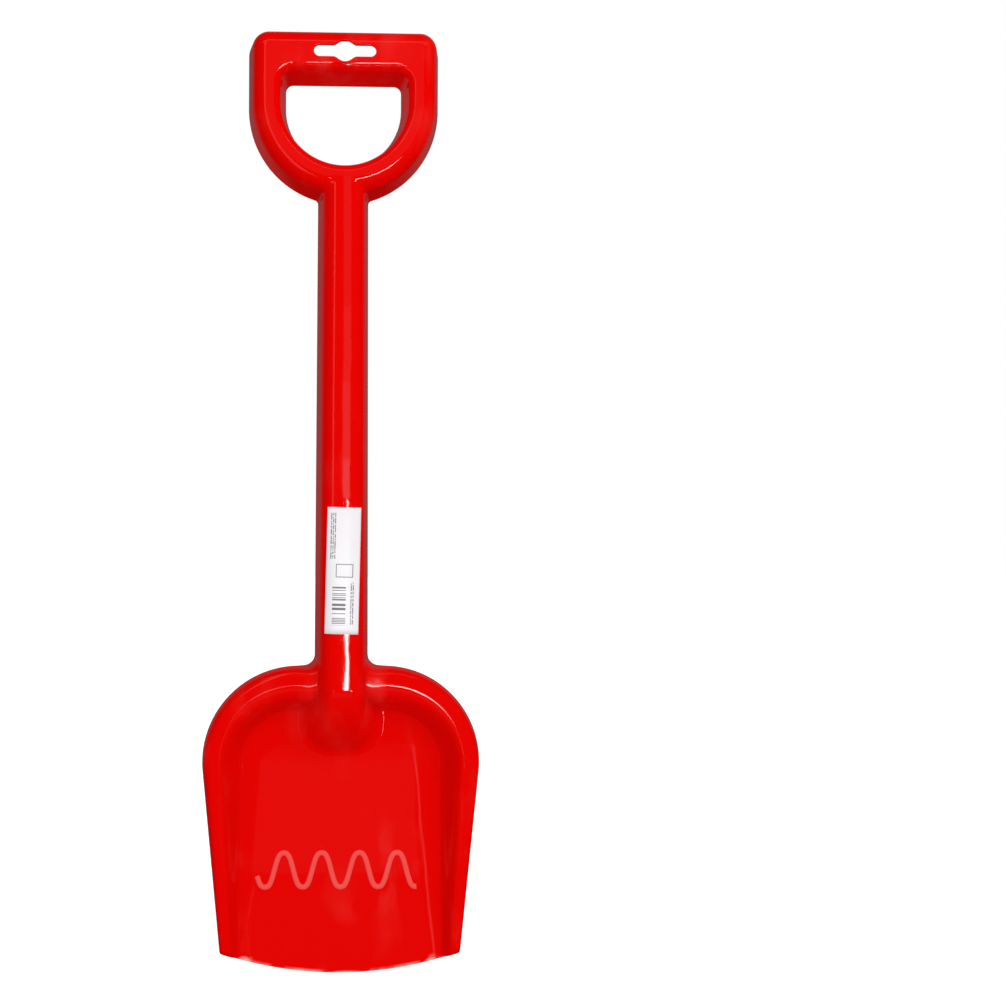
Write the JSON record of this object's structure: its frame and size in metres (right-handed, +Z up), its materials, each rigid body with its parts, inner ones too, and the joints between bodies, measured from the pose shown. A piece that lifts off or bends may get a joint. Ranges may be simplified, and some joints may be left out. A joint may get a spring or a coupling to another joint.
{
  "type": "sand shovel",
  "caption": "Red plastic sand shovel, moulded as one open-backed shell with a D grip, a hang slot, a straight shaft and a flat blade with a rolled rim and a wavy raised line.",
  "frame": {"origin": "middle of the hang slot, on the plane of the back edges of grip and shaft", "axes": "+Z up along the shaft towards the grip, +X to the right seen from the front, +Y towards the open back"},
  "size_m": [0.147, 0.0212, 0.4991],
  "materials": {
    "shell": "glossy moulded plastic with faint scuffs",
    "bead": "frosted moulded plastic",
    "label": "satin coated paper"
  },
  "bodies": {
    "root": {"grip_bar": "shell", "grip_bow": "shell", "grip_webs": "shell", "shaft": "shell", "shaft_webs": "shell", "blade": "shell", "wave_bead": "bead", "label": "label"}
  },
  "joints": []
}
